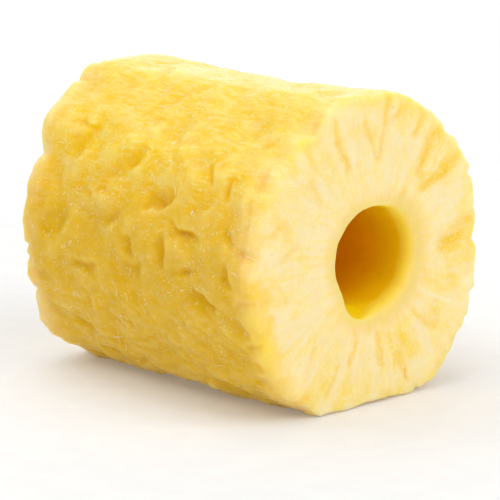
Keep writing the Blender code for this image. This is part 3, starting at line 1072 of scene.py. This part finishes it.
def flesh_material():
    """Wet flesh that light travels far in, under a thin coat of juice."""
    n = FleshNodes()
    cream = n.mark["cream"]
    dots, whiteness = fibre_ends_and_glints(n)
    skin = n.mix(cream, side_colour(n, dots, whiteness), face_colour(n))
    skin = n.mix(n.times(n.mark["lemon"], n.step(n.broad, 0.35, 0.6, 0.25, 0.75)), skin, RIM_LEMON)
    # the bore's colour, deepening inward as painted shade
    skin = n.lay(skin, bore_colour(n), n.mark["deep"], 0, MOUTH_DEEP)
    tone = n.step(n.noise(n.point, 240, 2), 0.3, 0.7, n.mix_value(cream, 0.96, 0.99), 1.02)
    skin = n.mix(1, skin, n.add("CombineColor", {0: tone, 1: tone, 2: tone}).outputs[0], "MULTIPLY")
    wet = n.step(n.noise(n.point, 330, 3, 0.6), 0.3, 0.7, 0.24, 0.46)
    coat_normal, normal = flesh_bumps(n, dots)
    return n.surface({
        "Base Color": skin, "Roughness": n.math("ADD", wet, n.times(cream, 0.1)), "Normal": normal,
        "Subsurface Weight": 1, "Subsurface Radius": (1, 1, 0.4), "Subsurface Scale": LIGHT_DEPTH,
        "IOR": WATER_IOR, "Specular IOR Level": 0.1,
        "Coat Weight": 0.22, "Coat Roughness": 0.08, "Coat IOR": WATER_IOR, "Coat Normal": coat_normal})


def fibre_material():
    """Wet, whitish fibre, for the strands."""
    n = Nodes("pineapple fibre")
    colour = n.lay(SPECK, FACE_YELLOW, n.noise(n.point, 500, 2), 0.35, 0.65)
    wet = n.step(n.noise(n.point, 900, 2), 0.3, 0.7, 0.18, 0.32)
    grain = n.bump(0.2, 0.1 * MM, n.noise(n.point, 3000, 2))
    return n.surface({"Base Color": colour, "Roughness": wet, "Normal": grain, "IOR": FIBRE_IOR})


flesh = add_piece("pineapple", flesh_mesh(), flesh_material())
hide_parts(NODE)
add_piece("strands", strand_mesh(surface_tree(flesh.data)), fibre_material())


# -------- floor, light, camera
# name, the side it shines from, apparent width in degrees, strength
LAMPS = (
    ("key", (0.35, -0.95, 0.95), 45, 1.08),
    ("front", (-0.36, -1, 0.2), 32, 0.6),
    ("top", (-0.25, 0.4, 1.2), 60, 1.16),
    ("left fill", (-0.9, -0.6, 2), 60, 0.66),
    ("left glint", (-0.6, 0.7, 0.65), 6, 0.16),
    ("back wall", (0.55, 0.75, 0.35), 70, 0.8),
)
LIT_HEIGHT = 50 * MM  # every lamp shines at this height above the origin
WHITE = (1, 1, 1, 1)
FLOOR_SIZE = 12
FLOOR_GREYS = ((0.715, 0.715, 0.715, 1), (0.74, 0.74, 0.735, 1))
FLOOR_GLOW = 0.14  # lifts the floor nearly to white

CAMERA_AZIMUTH = math.radians(-42.5)
CAMERA_ELEVATION = math.radians(13)
CAMERA_DISTANCE = 0.96
CAMERA_LENS = 216.8  # mm
CAMERA_SENSOR = 36  # mm
AIM_DOWN, AIM_LEFT = 7 * MM, 0.64 * MM  # from the flesh's middle to where the camera points


def floor_material():
    n = Nodes("pale floor")
    speckle = n.noise(n.point, 90, 3)
    return n.surface({"Base Color": n.lay(FLOOR_GREYS[0], FLOOR_GREYS[1], speckle, 0.3, 0.7),
                      "Roughness": n.step(speckle, 0.3, 0.7, 0.75, 0.85),
                      "Emission Color": WHITE, "Emission Strength": FLOOR_GLOW})


def add_floor():
    bpy.ops.mesh.primitive_plane_add(size=FLOOR_SIZE, location=(0, 0, float(LOW[2])))
    floor = bpy.context.object
    floor.name = "floor"
    floor.data.materials.append(floor_material())


def look_at(item, target):
    item.rotation_euler = (Vector(target) - item.location).to_track_quat("-Z", "Y").to_euler()


def add_lamp(name, location, spread, strength):
    """A far, wide lamp, which shines at the part as a soft box would."""
    lamp = bpy.data.lights.new(name, "SUN")
    lamp.energy = strength
    lamp.angle = math.radians(spread)
    item = bpy.data.objects.new(name, lamp)
    item.location = location
    bpy.context.scene.collection.objects.link(item)
    look_at(item, (0, 0, LIT_HEIGHT))


def add_world(strength, mirrored):
    """A white studio: strength is what it lights with, mirrored how bright a wet surface shows it."""
    world = bpy.data.worlds.new("studio")
    world.use_nodes = True
    nodes, links = world.node_tree.nodes, world.node_tree.links
    background = nodes["Background"]
    background.inputs["Color"].default_value = WHITE
    path = nodes.new("ShaderNodeLightPath")
    level = nodes.new("ShaderNodeMapRange")
    level.inputs["To Min"].default_value = strength
    level.inputs["To Max"].default_value = mirrored
    links.new(path.outputs["Is Glossy Ray"], level.inputs["Value"])
    links.new(level.outputs["Result"], background.inputs["Strength"])
    bpy.context.scene.world = world


def add_camera():
    """The photograph's view, from the front left and a little above."""
    out = Vector((math.sin(CAMERA_AZIMUTH) * math.cos(CAMERA_ELEVATION),
                  -math.cos(CAMERA_AZIMUTH) * math.cos(CAMERA_ELEVATION), math.sin(CAMERA_ELEVATION)))
    right = Vector((math.cos(CAMERA_AZIMUTH), math.sin(CAMERA_AZIMUTH), 0))
    up = out.cross(right)
    middle = Vector((float(AXIS_X), float(FRONT_Y + BACK_Y) / 2, float(AXIS_Z)))
    data = bpy.data.cameras.new("camera")
    data.lens = CAMERA_LENS
    data.sensor_width = CAMERA_SENSOR
    camera = bpy.data.objects.new("camera", data)
    camera.location = middle + out * CAMERA_DISTANCE
    bpy.context.scene.collection.objects.link(camera)
    look_at(camera, middle - up * AIM_DOWN - right * AIM_LEFT)
    bpy.context.scene.camera = camera


add_floor()
for row in LAMPS:
    add_lamp(*row)
add_world(0.26, 0.7)
add_camera()
bpy.context.scene.view_settings.view_transform = "Standard"
